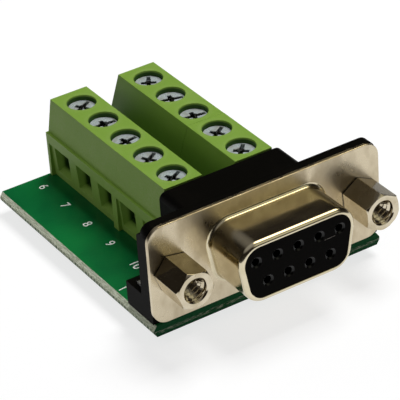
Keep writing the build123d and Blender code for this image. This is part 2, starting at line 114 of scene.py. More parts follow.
class Wire:
    """A shader socket that takes part in Python expressions on single values."""

    def __init__(self, graph: "Graph", socket: bpy.types.NodeSocket) -> None:
        """Keeps the graph that the socket belongs to."""
        self.graph = graph
        self.socket = socket

    def maths(self, operation: str, *values: "Wire | float") -> "Wire":
        """Adds a Math node.

        Args:
            operation: The node's operation.
            values: What goes into its sockets, in order.

        Returns:
            Its result.
        """
        inputs = dict(enumerate(values))
        return self.graph.wire("ShaderNodeMath", {"operation": operation}, inputs)

    def __add__(self, other: "Wire | float") -> "Wire":
        """Adds."""
        return self.maths("ADD", self, other)

    def __radd__(self, other: float) -> "Wire":
        """Adds to a number."""
        return self.maths("ADD", other, self)

    def __sub__(self, other: "Wire | float") -> "Wire":
        """Subtracts."""
        return self.maths("SUBTRACT", self, other)

    def __rsub__(self, other: float) -> "Wire":
        """Subtracts from a number."""
        return self.maths("SUBTRACT", other, self)

    def __mul__(self, other: "Wire | float") -> "Wire":
        """Multiplies."""
        return self.maths("MULTIPLY", self, other)

    def __rmul__(self, other: float) -> "Wire":
        """Multiplies a number."""
        return self.maths("MULTIPLY", other, self)

    def __truediv__(self, other: "Wire | float") -> "Wire":
        """Divides."""
        return self.maths("DIVIDE", self, other)

    def __rtruediv__(self, other: float) -> "Wire":
        """Divides a number."""
        return self.maths("DIVIDE", other, self)

    def __pow__(self, other: float) -> "Wire":
        """Raises to a power."""
        return self.maths("POWER", self, other)

    def __rpow__(self, other: float) -> "Wire":
        """Raises a number to a power."""
        return self.maths("POWER", other, self)

    def __abs__(self) -> "Wire":
        """Drops the sign."""
        return self.maths("ABSOLUTE", self)

    def sign(self) -> "Wire":
        """Keeps the sign alone."""
        return self.maths("SIGN", self)

    def wave(self) -> "Wire":
        """Takes the sine."""
        return self.maths("SINE", self)

    def fraction(self) -> "Wire":
        """Keeps what follows the point."""
        return self.maths("FRACT", self)

    def either(self, other: "Wire | float") -> "Wire":
        """Takes the larger of two."""
        return self.maths("MAXIMUM", self, other)

    def both(self, other: "Wire | float") -> "Wire":
        """Takes the smaller of two."""
        return self.maths("MINIMUM", self, other)

    def ramp(self, start: float, end: float, low: float = 0.0, high: float = 1.0) -> "Wire":
        """Maps a range softly onto another.

        Args:
            start: Input that gives low.
            end: Input that gives high.
            low: First output.
            high: Last output.

        Returns:
            The mapped value, held inside the outputs.
        """
        settings = {"interpolation_type": "SMOOTHSTEP"}
        inputs = {"Value": self, "From Min": start, "From Max": end, "To Min": low, "To Max": high}
        return self.graph.wire("ShaderNodeMapRange", settings, inputs)


class Graph:
    """The nodes of a material or of the world, from coordinates to surface."""

    def __init__(self, owner: bpy.types.Material | bpy.types.World) -> None:
        """Clears the owner's nodes.

        Args:
            owner: The material or the world.
        """
        owner.use_nodes = True
        self.owner = owner
        self.tree = owner.node_tree
        self.tree.nodes.clear()

    @classmethod
    def material(cls, name: str) -> "Graph":
        """Starts an empty material."""
        return cls(bpy.data.materials.new(name))

    def node(self, kind: str, settings: dict | None = None, inputs: dict | None = None) -> bpy.types.Node:
        """Adds any node.

        Args:
            kind: The node's type.
            settings: Its own settings, with a ramp's stops as pairs of place and colour.
            inputs: Values or links of its sockets, by name or number.

        Returns:
            The node.
        """
        node = self.tree.nodes.new(kind)
        for key, value in (settings or {}).items():
            if key == "stops":
                self.set_stops(node.color_ramp, value)
            else:
                setattr(node, key, value)
        for key, value in (inputs or {}).items():
            self.feed(node.inputs[key], value)
        return node

    @staticmethod
    def set_stops(ramp: bpy.types.ColorRamp, stops: tuple[tuple[float, Colour], ...]) -> None:
        """Sets a colour ramp's stops.

        Args:
            ramp: The ramp.
            stops: Each stop's place and colour, in order.
        """
        while len(ramp.elements) < len(stops):
            ramp.elements.new(1.0)
        for element, (place, colour) in zip(ramp.elements, stops):
            element.position = place
            element.color = (*colour, 1.0)

    def feed(self, socket: bpy.types.NodeSocket, value: object) -> None:
        """Links or sets a socket.

        Args:
            socket: The socket that takes the value.
            value: A wire, another socket, a number, a vector or a colour of three values.
        """
        if isinstance(value, Wire):
            self.tree.links.new(value.socket, socket)
        elif isinstance(value, bpy.types.NodeSocket):
            self.tree.links.new(value, socket)
        elif socket.type == "RGBA":
            socket.default_value = (*value, 1.0)
        else:
            socket.default_value = value

    def wire(self, kind: str, settings: dict | None = None, inputs: dict | None = None,
             out: int | str = 0) -> Wire:
        """Adds a node and takes one of its outputs.

        Args:
            kind: The node's type.
            settings: Its own settings.
            inputs: Values or links of its sockets.
            out: The output's name or number.

        Returns:
            The output.
        """
        return Wire(self, self.node(kind, settings, inputs).outputs[out])

    def place(self) -> Wire:
        """Gives the place on the object in millimetres."""
        metres = self.wire("ShaderNodeTexCoord", out="Object")
        return self.scale(metres, 1 / MM)

    def axes(self, vector: Wire) -> tuple[Wire, Wire, Wire]:
        """Splits a vector into its three values."""
        node = self.node("ShaderNodeSeparateXYZ", inputs={0: vector})
        return Wire(self, node.outputs[0]), Wire(self, node.outputs[1]), Wire(self, node.outputs[2])

    def facing(self) -> tuple[Wire, Wire, Wire]:
        """Gives the three values of the surface's own direction."""
        return self.axes(self.wire("ShaderNodeTexCoord", out="Normal"))

    def rays(self, *names: str) -> list[Wire]:
        """Tells which kinds of ray are looking, by the names of the light path's outputs."""
        node = self.node("ShaderNodeLightPath")
        return [Wire(self, node.outputs[name]) for name in names]

    def toward(self, way: Wire, direction: Triple) -> Wire:
        """Tells how nearly a way points in a direction, from -1 to 1."""
        inputs = {0: way, 1: direction}
        return self.wire("ShaderNodeVectorMath", {"operation": "DOT_PRODUCT"}, inputs, "Value")

    def stretched(self, vector: Wire, scale: Triple) -> Wire:
        """Scales a place along each axis."""
        return self.wire("ShaderNodeVectorMath", {"operation": "MULTIPLY"}, {0: vector, 1: scale})

    def noise(self, vector: Wire, scale: float, detail: float = 2.0, rough: float = 0.5) -> Wire:
        """Gives noise from 0 to 1.

        Args:
            vector: The place.
            scale: Grains for each millimetre.
            detail: Octaves.
            rough: How much each octave counts.

        Returns:
            The noise.
        """
        inputs = {"Vector": vector, "Scale": scale, "Detail": detail, "Roughness": rough}
        return self.wire("ShaderNodeTexNoise", inputs=inputs)

    def mix(self, factor: Wire | float, first: Wire | Colour, second: Wire | Colour) -> Wire:
        """Mixes two colours.

        Args:
            factor: How much of the second.
            first: A colour.
            second: Another colour.

        Returns:
            The mixed colour.
        """
        inputs = {0: factor, MIX_FIRST: first, MIX_SECOND: second}
        return self.wire("ShaderNodeMix", {"data_type": "RGBA"}, inputs, MIX_RESULT)

    def scale(self, vector: Wire, amount: Wire | float) -> Wire:
        """Scales a place or a colour by a value."""
        return self.wire("ShaderNodeVectorMath", {"operation": "SCALE"}, {0: vector, "Scale": amount})

    def bump(self, height: Wire, depth: float) -> Wire:
        """Turns heights into a bumped normal.

        Args:
            height: The height, around 0 to 1.
            depth: What a height of 1 stands for, in millimetres.

        Returns:
            The normal.
        """
        return self.wire("ShaderNodeBump", inputs={"Height": height, "Distance": depth * MM})

    def surface(self, inputs: dict) -> bpy.types.Material:
        """Ends the material in a shader.

        Args:
            inputs: Values and links of the shader's sockets.

        Returns:
            The material.
        """
        shader = self.node("ShaderNodeBsdfPrincipled", inputs=inputs)
        self.node("ShaderNodeOutputMaterial", inputs={"Surface": shader.outputs[0]})
        return self.owner


@dataclass(frozen=True)
class MetalFinish:
    """A plated metal with soft streaks, fine grain and scattered dull spots."""

    name: str
    colour: Colour
    dull_colour: Colour
    shine: float = 0.16
    dull: float = 0.34
    streaks: Triple = (1.0, 1.0, 1.0)
    grain: float = 14.0
    grain_depth: float = 0.0015
    wander: float = 0.45
    spotting: float = 0.5
    metallic: float = 1.0
    joint: float | None = None
    joint_width: float = 0.19
    joint_fade: float = 0.076
    joint_edge: float = 0.05
    grime: Colour = (0.020, 0.017, 0.014)
    worn_band: Band = (0.4, 0.68)
    worn_share: float = 0.7
    spot_scale: float = 2.6
    spot_band: Band = (0.68, 0.78)
    grain_dull: float = 0.05
    cloud_lift: float = 2.0

    def build(self) -> bpy.types.Material:
        """Makes the material, with a painted shadow line where the part stands on its neighbour.

        Returns:
            The material.
        """
        g = Graph.material(self.name)
        place = g.place()
        cloud = g.noise(g.stretched(place, self.streaks), self.wander, 4.0, 0.55)
        fine = g.noise(place, self.grain, 3.0)
        spots = g.noise(place, self.spot_scale).ramp(*self.spot_band)
        worn = (cloud.ramp(*self.worn_band) * self.worn_share + spots * self.spotting).both(1.0)
        roughness = worn * (self.dull - self.shine) + self.shine + fine * self.grain_dull
        colour = g.mix(worn, self.colour, self.dull_colour)
        # Painted shade: a dark band laid on the part just in front of the flange's face, where it stands on
        # the flange.
        if self.joint is not None:
            _, along, _ = g.axes(place)
            gap = along - self.joint
            front = gap.ramp(-self.joint_width, -self.joint_fade)
            near = front * gap.ramp(0.0, self.joint_edge, 1.0, 0.0)
            colour = g.mix(near, colour, self.grime)
        return g.surface({
            "Base Color": colour,
            "Metallic": self.metallic,
            "Roughness": roughness,
            "Normal": g.bump(fine + cloud * self.cloud_lift, self.grain_depth),
        })


@dataclass(frozen=True)
class MouldedFinish:
    """A moulded plastic with an eroded mould's texture, soft mottling, paler rubbed patches and a pale sheen
    painted on its side faces.
    """

    name: str
    colour: Colour
    rubbed_colour: Colour
    roughness: float = 0.42
    texture: float = 9.0
    texture_depth: float = 0.006
    mottle: float = 0.16
    gloss: float = 0.4
    deep_colour: Colour = (0.0, 0.0, 0.0)
    side_band: Band = (0.6, 0.95)
    side_rough: float = 0.08
    mottle_scale: float = 0.22
    rub_band: Band = (0.5, 0.75)
    rub_share: float = 0.5
    grit_band: Band = (0.35, 0.7)
    grit_rough: float = 0.12

    def side(self, g: Graph, place: Wire) -> Wire:
        """Marks the side faces, which are painted paler as a sheen and also take the rubbing."""
        across, _, _ = g.facing()
        return abs(across).ramp(*self.side_band)

    def deep(self, g: Graph, place: Wire) -> Wire | None:
        """Marks the hollows that light hardly reaches, or gives None where there are none."""
        return None

    def build(self) -> bpy.types.Material:
        """Makes the material.

        Returns:
            The material.
        """
        g = Graph.material(self.name)
        place = g.place()
        slow = g.noise(place, self.mottle_scale, 3.0)
        grit = g.noise(place, self.texture, 3.0, 0.6)
        side = self.side(g, place)
        # Paler colour: rubbed patches at random, plus a painted sheen on the side faces.
        rub_and_sheen = (slow.ramp(*self.rub_band) + side) * self.rub_share * grit.ramp(*self.grit_band)
        tone = slow * self.mottle + (1.0 - self.mottle / 2)
        colour = g.scale(g.mix(rub_and_sheen, self.colour, self.rubbed_colour), tone)
        # Painted shade: the colour goes towards the shade colour in the hollows marked here.
        deep = self.deep(g, place)
        if deep is not None:
            colour = g.mix(deep, colour, self.deep_colour)
        return g.surface({
            "Base Color": colour,
            "Roughness": grit * self.grit_rough + side * self.side_rough + self.roughness,
            "Specular IOR Level": self.gloss,
            "Normal": g.bump(grit, self.texture_depth),
        })


@dataclass(frozen=True)
class ScrewRows:
    """Where the terminal screws stand: two rows beside the middle plane."""

    offset: float
    first: float
    pitch: float

    @classmethod
    def of_part(cls) -> "ScrewRows":
        """Reads the rows from the first two terminal screws."""
        first = middle_mm("terminal_screw_1")
        second = middle_mm("terminal_screw_2")
        return cls(abs(first.x), first.y, first.y - second.y)

    def measure(self, g: Graph, place: Wire) -> tuple[Wire, Wire, Wire]:
        """Measures a place from the nearest screw's axis.

        Args:
            g: The material's nodes.
            place: The place on the object.

        Returns:
            The distance across the row, along it and straight out.
        """
        x, y, _ = g.axes(place)
        across = abs(x) - self.offset
        along = ((y - self.first) / self.pitch + 0.5).fraction() * self.pitch - self.pitch / 2
        return across, along, (across * across + along * along) ** 0.5


@dataclass(frozen=True, kw_only=True)
class HousingFinish(MouldedFinish):
    """The terminal housings' green, with shade painted into the bores, the wire entries and the faces
    between the rows, and a sheen and highlight painted on the outer sides and the bores' rims.
    """

    rows: ScrewRows
    top: float
    bore: float = 1.86
    bore_edge: float = 0.06
    bore_depths: Band = (0.05, 0.35)
    rim: float = 0.22
    rim_fade: float = 0.352
    rim_share: float = 0.8
    top_band: Band = (0.7, 0.9)
    entry_half: float = 1.55
    entry_edge: float = 0.05
    entry_below: float = 7.4
    entry_ceiling: float = 0.2
    entry_outer: float = 7.5
    entry_depth: float = 0.7
    entry_inner: Band = (-1.0, -0.7)
    inward_band: Band = (-0.2, -0.7)
    between_depths: Band = (0.2, 3.5)
    between_shares: Band = (0.3, 0.62)

    def outward(self, g: Graph, place: Wire) -> Wire:
        """Tells how far a face looks away from the other row.

        Args:
            g: The material's nodes.
            place: The place on the object.

        Returns:
            The share, below 0 where the face looks at the other row.
        """
        x, _, _ = g.axes(place)
        across, _, _ = g.facing()
        return across * x.sign()

    def side(self, g: Graph, place: Wire) -> Wire:
        """Marks the outer side faces for a painted sheen and, less, the rims round the bores for a painted
        highlight.

        Args:
            g: The material's nodes.
            place: The place on the object.

        Returns:
            The mask.
        """
        _, _, out = self.rows.measure(g, place)
        _, _, up = g.facing()
        # A painted highlight: a paler ring on the top round each bore's edge.
        rim = abs(out - (self.bore + self.rim)).ramp(0.0, self.rim_fade, self.rim_share, 0.0)
        return self.outward(g, place).ramp(*self.side_band).either(rim * up.ramp(*self.top_band))

    def deep(self, g: Graph, place: Wire) -> Wire:
        """Marks where shade is painted: the bores, the entries and, half as much, the faces between the
        rows.

        Args:
            g: The material's nodes.
            place: The place on the object.

        Returns:
            The mask.
        """
        x, _, z = g.axes(place)
        across, along, out = self.rows.measure(g, place)
        down = self.top - z
        # Painted shade deepening down each bore, in the wire entries, and on the faces that look at the
        # other row.
        bores = out.ramp(self.bore, self.bore + self.bore_edge, 1.0, 0.0) * down.ramp(*self.bore_depths)
        width = abs(along).ramp(self.entry_half, self.entry_half + self.entry_edge, 1.0, 0.0)
        reach = (self.entry_outer - abs(x)).ramp(0.0, self.entry_depth) * across.ramp(*self.entry_inner)
        entries = width * reach * (self.entry_below - z).ramp(0.0, self.entry_ceiling)
        inward = self.outward(g, place).ramp(*self.inward_band)
        between = inward * down.ramp(*self.between_depths, *self.between_shares)
        return bores.either(entries).either(between)


@dataclass(frozen=True)
class FaceFinish:
    """The insulator's black, with the fine scratch beside its upper right entry."""

    name: str = "insulator_black"
    colour: Colour = (0.0050, 0.0045, 0.0038)
    scratch_colour: Colour = (0.42, 0.38, 0.33)
    gloss: float = 0.02
    scratch_start: float = 3.35
    scratch_end: float = 5.0
    scratch_height: float = 10.05
    scratch_lift: float = 0.03
    scratch_half: float = 0.028
    scratch_fade: float = 0.3
    roughness: float = 0.42
    texture: float = 7.0
    texture_depth: float = 0.006

    def build(self) -> bpy.types.Material:
        """Makes the material.

        Returns:
            The material.
        """
        g = Graph.material(self.name)
        place = g.place()
        x, _, z = g.axes(place)
        grit = g.noise(place, self.texture, 3.0)
        middle = (self.scratch_start + self.scratch_end) / 2
        bow = (x - middle) * self.scratch_lift + self.scratch_height
        near = abs(z - bow).ramp(self.scratch_half, self.scratch_half * 2, 1.0, 0.0)
        half = (self.scratch_end - self.scratch_start) / 2
        inside = abs(x - middle).ramp(half - self.scratch_fade, half, 1.0, 0.0)
        _, forward, _ = g.facing()
        scratch = near * inside * forward.ramp(-0.5, -0.9) * g.noise(place, 3.0).ramp(0.35, 0.55, 0.3, 1.0)
        return g.surface({
            "Base Color": g.mix(scratch, self.colour, self.scratch_colour),
            "Roughness": grit * 0.14 + self.roughness,
            "Specular IOR Level": self.gloss,
            "Normal": g.bump(grit - scratch, self.texture_depth),
        })


@dataclass(frozen=True)
class BoardFinish:
    """Green mask on the board's faces and bare glass laminate round its cut edges."""

    low: float
    high: float
    name: str = "board_green"
    mask: Colour = (0.003, 0.160, 0.036)
    mask_deep: Colour = (0.001, 0.095, 0.026)
    laminate: Colour = (0.48, 0.53, 0.35)
    fibre: Colour = (0.86, 0.90, 0.72)
    resin: Colour = (0.040, 0.120, 0.055)
    under: Colour = (0.012, 0.045, 0.020)
    bundle_pitch: float = 0.62
    bundle_middle: float = 0.46
    streak_middle: float = 0.40
    weave: float = 0.45
    gloss: float = 0.35
    cut_rough: float = 0.85
    mask_rough: float = 0.26
    depth: float = 0.012

    def build(self) -> bpy.types.Material:
        """Makes the material.

        Returns:
            The material.
        """
        g = Graph.material(self.name)
        place = g.place()
        x, y, z = g.axes(place)
        across, _, up = g.facing()
        flat = abs(up).ramp(0.75, 0.9)
        sides = abs(across).ramp(0.25, 0.45)
        slow = g.noise(place, 0.12, 3.0)
        threads = (x * (tau / self.weave)).wave() * (y * (tau / self.weave)).wave()
        mask = g.mix(slow.ramp(0.3, 0.7), self.mask_deep, self.mask)
        height = (z - self.low) / (self.high - self.low)
        along = g.noise(g.stretched(place, (0.5, 0.5, 6.0)), 2.2, 5.0, 0.65)
        crumbs = g.noise(place, 5.0, 4.0, 0.7)
        cut = g.mix(along.ramp(0.36, 0.60), self.laminate, self.fibre)
        lower = height.ramp(0.62, 0.40)
        cut = g.mix(crumbs.ramp(0.44, 0.62) * (lower * 0.6 + 0.15), cut, self.resin)
        middle = abs(height - self.bundle_middle).ramp(0.08, 0.20, 1.0, 0.0)
        wander = g.noise(g.stretched(place, (1.0, 1.0, 0.1)), 0.9, 2.0)
        dash = abs((y / self.bundle_pitch + wander * 1.6).fraction() - 0.5)
        dashes = dash.ramp(0.14, 0.28, 1.0, 0.0) * middle * sides * wander.ramp(0.36, 0.58, 0.2, 1.0)
        cut = g.mix(dashes * 0.9, cut, self.resin)
        streak = abs(height - self.streak_middle).ramp(0.05, 0.18, 1.0, 0.0) * along.ramp(0.48, 0.60)
        routed = g.mix(streak * 0.8, self.mask_deep, self.fibre)
        cut = g.mix(sides, routed, cut)
        under = height.ramp(0.06, 0.16, 1.0, 0.0)
        cut = g.mix(under * 0.85, cut, self.under)
        relief = (threads * 0.15 + slow) * flat + (along + crumbs) * 6.0 * (1.0 - flat)
        return g.surface({
            "Base Color": g.mix(flat, cut, mask),
            "Roughness": flat.ramp(0.0, 1.0, self.cut_rough, self.mask_rough) + crumbs * 0.06,
            "Specular IOR Level": self.gloss,
            "Normal": g.bump(relief, self.depth),
        })


@dataclass(frozen=True)
class TurnedFinish:
    """A screw's zinc plate, with the rings of its turned head about each screw's own axis, and painted shade
    with painted glints in its drive recess.
    """

    rows: ScrewRows
    top: float
    name: str = "zinc_screw"
    colour: Colour = (0.60, 0.67, 0.69)
    dull_colour: Colour = (0.46, 0.49, 0.47)
    drive_colour: Colour = (0.030, 0.030, 0.026)
    drive_reach: float = 1.35
    hub: float = 0.50
    glint_colour: Colour = (0.80, 0.84, 0.82)
    ring: float = 0.22
    ring_waver: float = 3.0
    ring_height: float = 0.4
    worn_scale: float = 0.8
    worn_band: Band = (0.42, 0.66)
    drive_edge: float = 0.05
    drive_depths: Band = (0.04, 0.22)
    hub_edge: float = 0.12
    hub_share: float = 0.9
    hub_uneven: Band = (-0.16, 0.12)
    glint_scale: float = 3.4
    glint_band: Band = (0.60, 0.66)
    glint_reach: Band = (0.9, 1.1)
    roughness: float = 0.24
    depth: float = 0.003
    metallic: float = 0.35

    def build(self) -> bpy.types.Material:
        """Makes the material.

        Returns:
            The material.
        """
        g = Graph.material(self.name)
        place = g.place()
        _, _, z = g.axes(place)
        _, _, out = self.rows.measure(g, place)
        rings = (out * (tau / self.ring) + g.noise(place, 1.5) * self.ring_waver).wave()
        fine = g.noise(place, 6.0)
        worn = g.noise(place, self.worn_scale, 3.0).ramp(*self.worn_band)
        # Painted shade: the drive recess is darkened by its depth below the head's top, and a dark blob is
        # painted round its middle.
        inside = out.ramp(self.drive_reach, self.drive_reach + self.drive_edge, 1.0, 0.0)
        recess_shade = (self.top - z).ramp(*self.drive_depths) * inside
        face = g.mix(worn, self.colour, self.dull_colour)
        uneven = g.noise(place, 1.3).ramp(0.3, 0.7, *self.hub_uneven)
        recess_shade = recess_shade.either((out - uneven).ramp(self.hub, self.hub + self.hub_edge, self.hub_share, 0.0))
        # Painted glints: pale specks scattered in the recess's painted shade.
        near = out.ramp(*self.glint_reach, 1.0, 0.0)
        glint = g.noise(place, self.glint_scale, 1.0).ramp(*self.glint_band) * near
        recess_shade_and_glints = g.mix(glint, self.drive_colour, self.glint_colour)
        return g.surface({
            "Base Color": g.mix(recess_shade, face, recess_shade_and_glints),
            "Metallic": self.metallic,
            "Roughness": worn * 0.12 + fine * 0.06 + self.roughness,
            "Normal": g.bump(rings * self.ring_height + fine, self.depth),
        })


@dataclass(frozen=True)
class InkFinish:
    """Printed white ink, a little uneven."""

    name: str = "white_ink"
    colour: Colour = (1.0, 1.0, 0.96)
    thin: Colour = (0.66, 0.78, 0.68)

    def build(self) -> bpy.types.Material:
        """Makes the material.

        Returns:
            The material.
        """
        g = Graph.material(self.name)
        grain = g.noise(g.place(), 6.0, 3.0)
        return g.surface({
            "Base Color": g.mix(grain.ramp(0.56, 0.74), self.colour, self.thin),
            "Roughness": grain * 0.2 + 0.5,
            "Normal": g.bump(grain, 0.01),
        })


class Finishes:
    """Every finish of the object, made once."""

    def __init__(self) -> None:
        """Makes the materials."""
        board_low, board_high = box_mm("circuit_board")
        _, screw_high = box_mm("terminal_screw_1")
        _, housing_high = box_mm("left_housing_front")
        rows = ScrewRows.of_part()
        self.board = BoardFinish(board_low.z, board_high.z).build()
        self.ink = InkFinish().build()
        self.face = FaceFinish().build()
        self.screw = TurnedFinish(rows, screw_high.z).build()
        self.nickel = MetalFinish(
            "warm_nickel", (0.68, 0.61, 0.44), (0.60, 0.53, 0.36), 0.12, 0.20, (0.35, 1.0, 1.0),
            grain_depth=0.0003, spotting=0.1
        ).build()
        self.flange = MetalFinish(
            "flange_nickel", (0.62, 0.54, 0.39), (0.47, 0.39, 0.26), 0.24, 0.44, (1.0, 1.0, 0.6),
            grain_depth=0.0008, spotting=0.3
        ).build()
        # The turned nickel carries the painted shadow line where the jackscrews stand on the flange.
        self.turned = MetalFinish(
            "turned_nickel", (0.64, 0.57, 0.43), (0.46, 0.39, 0.26), 0.10, 0.20,
            grain_depth=0.0005, joint=flange_front()
        ).build()
        self.tin = MetalFinish(
            "tinned_sheet", (0.70, 0.70, 0.67), (0.50, 0.50, 0.47), 0.24, 0.42, metallic=0.8
        ).build()
        self.solder = MetalFinish(
            "solder", (0.66, 0.67, 0.68), (0.47, 0.48, 0.49), 0.2, 0.4, metallic=0.8
        ).build()
        self.gold = MetalFinish(
            "contact_gold", (0.83, 0.60, 0.24), (0.66, 0.46, 0.18), 0.2, 0.36, metallic=0.7
        ).build()
        self.green = HousingFinish(
            "moss_green", (0.200, 0.345, 0.050), (0.280, 0.375, 0.130),
            deep_colour=(0.022, 0.070, 0.005), rows=rows, top=housing_high.z
        ).build()
        self.entry = MouldedFinish(
            "entry_black", (0.0018, 0.0016, 0.0014), (0.003, 0.0027, 0.0024), 0.20,
            texture_depth=0.001, gloss=0.3
        ).build()
        self.black = MouldedFinish(
            "bracket_black", (0.0020, 0.0019, 0.0016), (0.008, 0.0065, 0.0055), 0.40, gloss=0.03
        ).build()
        self.trace = MouldedFinish(
            "trace_green", (0.010, 0.235, 0.055), (0.014, 0.28, 0.07), 0.24, 4.0
        ).build()


def soften(piece: bpy.types.Object, width: float, segments: int = 2, angle: float = 28.0) -> None:
    """Rounds a piece's edges a little.

    Args:
        piece: The piece.
        width: The edge's width in millimetres.
        segments: Facets across the edge.
        angle: Smallest turn, in degrees, that counts as an edge.
    """
    weld = piece.modifiers.new("join_faces", "WELD")
    weld.merge_threshold = WELD_DISTANCE * MM
    plain = piece.modifiers.new("clear_flats", "DECIMATE")
    plain.decimate_type = "DISSOLVE"
    plain.angle_limit = radians(FLAT_ANGLE)
    bevel = piece.modifiers.new("soft_edges", "BEVEL")
    bevel.width = width * MM
    bevel.segments = segments
    bevel.limit_method = "ANGLE"
    bevel.angle_limit = radians(angle)
    bevel.harden_normals = True
    bevel.use_clamp_overlap = True


def dress(node: str, material: bpy.types.Material, width: float = 0.0, segments: int = 1) -> None:
    """Gives a part of the frame its finish and soft edges.

    Args:
        node: The part's name.
        material: Its material.
        width: The edges' width in millimetres, 0 to leave them.
        segments: Facets across an edge.
    """
    piece = frame["nodes"][node]
    piece.data.materials.clear()
    piece.data.materials.append(material)
    if width > 0:
        soften(piece, width, segments)


def mesh_piece(name: str, form: bmesh.types.BMesh, material: bpy.types.Material, body: str,
               second: bpy.types.Material | None = None) -> bpy.types.Object:
    """Turns a built form into a piece that rides on a body.

    Args:
        name: The piece's name.
        form: Its form, in millimetres.
        material: Its material.
        body: The body that it rides on.
        second: Material of the faces that are numbered 1.

    Returns:
        The piece.
    """
    bmesh.ops.scale(form, vec=(MM, MM, MM), verts=form.verts)
    bmesh.ops.recalc_face_normals(form, faces=form.faces)
    mesh = bpy.data.meshes.new(name)
    mesh.materials.append(material)
    if second is not None:
        mesh.materials.append(second)
    form.to_mesh(mesh)
    form.free()
    piece = bpy.data.objects.new(name, mesh)
    bpy.context.scene.collection.objects.link(piece)
    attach(piece, body)
    return piece


@dataclass(frozen=True)
class Outline:
    """A four-sided outline with round corners, whose sides may lean in towards the bottom."""

    width: float
    height: float
    corner: float
    lean: float = 0.0
    steps: int = 12

    def ring(self, form: bmesh.types.BMesh, inset: float, y: float, level: float) -> Ring:
        """Adds the outline's corners to a form.

        Args:
            form: The form.
            inset: How far the outline is moved in.
            y: Its place along the connector's axis.
            level: The axis's height.

        Returns:
            The outline's points, in order.
        """
        slope = radians(self.lean)
        half = self.height / 2 - self.corner
        upper = self.width / 2 - self.corner * (sin(slope) + 1) / cos(slope)
        lower = upper - 2 * half * sin(slope) / cos(slope)
        centres = ((upper, half), (-upper, half), (-lower, -half), (lower, -half))
        turns = (-slope, pi / 2, pi + slope, pi * 3 / 2, tau - slope)
        ring = []
        for index, (x, z) in enumerate(centres):
            for step in range(self.steps + 1):
                angle = turns[index] + (turns[index + 1] - turns[index]) * step / self.steps
                out = self.corner - inset
                ring.append(form.verts.new((x + out * cos(angle), y, level + z + out * sin(angle))))
        return ring


def circle(form: bmesh.types.BMesh, middle: Vector, radius: float, sides: int = 32) -> Ring:
    """Adds a round ring that faces along the connector's axis.

    Args:
        form: The form.
        middle: The ring's middle.
        radius: Its radius.
        sides: Its corners.

    Returns:
        The ring's points, in order.
    """
    ring = []
    for step in range(sides):
        angle = tau * step / sides
        ring.append(form.verts.new(middle + Vector((radius * cos(angle), 0, radius * sin(angle)))))
    return ring


def skin(form: bmesh.types.BMesh, rings: list[Ring], finish: int = 0) -> None:
    """Joins rings with four-sided faces.

    Args:
        form: The form.
        rings: Rings with as many points each.
        finish: Number of the faces' material.
    """
    for first, second in zip(rings, rings[1:]):
        for index in range(len(first)):
            other = (index + 1) % len(first)
            face = form.faces.new((first[index], first[other], second[other], second[index]))
            face.material_index = finish


def tube(form: bmesh.types.BMesh, rings: list[Ring]) -> None:
    """Joins rings and closes both ends.

    Args:
        form: The form.
        rings: Rings with as many points each.
    """
    skin(form, rings)
    form.faces.new(rings[0])
    form.faces.new(tuple(reversed(rings[-1])))


def fill(form: bmesh.types.BMesh, loops: list[Ring]) -> None:
    """Fills the flat face between an outline and the holes in it.

    Args:
        form: The form.
        loops: The outline and its holes.
    """
    edges = []
    for loop in loops:
        for index, vert in enumerate(loop):
            other = loop[(index + 1) % len(loop)]
            edges.append(form.edges.get((vert, other)) or form.edges.new((vert, other)))
    bmesh.ops.triangle_fill(form, edges=edges, use_beauty=True)


def smooth(piece: bpy.types.Object, angle: float = 40.0) -> None:
    """Shades a piece's curves smoothly and keeps its flats flat.

    Args:
        piece: The piece.
        angle: Smallest turn, in degrees, that stays a sharp edge.
    """
    for polygon in piece.data.polygons:
        polygon.use_smooth = True
    piece.data.set_sharp_from_angle(angle=radians(angle))
    weighted = piece.modifiers.new("flat_faces", "WEIGHTED_NORMAL")
    weighted.keep_sharp = True


class Wound(Enum):
    """Which way a thread's ridge stands: out of a shank or into a bore."""

    OUT = 1
    IN = -1


@dataclass(frozen=True)
class Thread:
    """A screw thread as one closed ridge wound round an axis."""

    radius: float
    depth: float
    pitch: float
    length: float
    wound: Wound = Wound.OUT
    flat: float = 0.12
    steps: int = 30
    run_in: float = 3.0
    least: float = 0.05

    def build(self, to_world: Matrix) -> bmesh.types.BMesh:
        """Winds the ridge.

        Args:
            to_world: Takes the thread's own frame, with +Z along its axis, to the object's.

        Returns:
            The ridge.
        """
        form = bmesh.new()
        turns = self.length / self.pitch
        count = int(turns * self.steps)
        half_root = self.pitch * (1 - self.flat) / 2
        half_crest = self.pitch * self.flat / 2
        rings = []
        for step in range(count + 1):
            share = step / count
            angle = tau * turns * share
            height = self.length * share
            full = min(1.0, share * turns * self.run_in, (1 - share) * turns * self.run_in)
            crest = self.radius + self.wound.value * self.depth * max(full, self.least)
            section = (
                (self.radius, height - half_root),
                (crest, height - half_crest),
                (crest, height + half_crest),
                (self.radius, height + half_root),
            )
            ring = []
            for out, along in section:
                spot = Vector((out * cos(angle), out * sin(angle), min(max(along, 0.0), self.length)))
                ring.append(form.verts.new(to_world @ spot))
            rings.append(ring)
        tube(form, rings)
        return form


@dataclass(frozen=True)
class SolderCone:
    """A cone of solder with hollow sides, drawn up round a lead."""

    reach: float
    spread: float
    height: float
    hollow: float = 2.2
    oval: float = 0.03
    lobes: float = 0.02
    levels: int = 7
    sides: int = 28

    def add(self, form: bmesh.types.BMesh, spot: Vector, under: float) -> None:
        """Adds the cone to a form.

        Args:
            form: The form.
            spot: The lead's place.
            under: Height of the board's underside.
        """
        rings = []
        for level in range(self.levels + 1):
            share = level / self.levels
            radius = self.reach + self.spread * (1 - share) ** self.hollow
            ring = []
            for step in range(self.sides):
                angle = tau * step / self.sides
                uneven = self.oval * sin(angle * 2 + spot.x * 3) + self.lobes * sin(angle * 3 + spot.y * 5)
                offset = Vector((cos(angle), sin(angle), 0)) * radius * (1 + uneven)
                height = under - self.height * share
                ring.append(form.verts.new((spot.x + offset.x, spot.y + offset.y, height)))
            rings.append(ring)
        tube(form, rings)


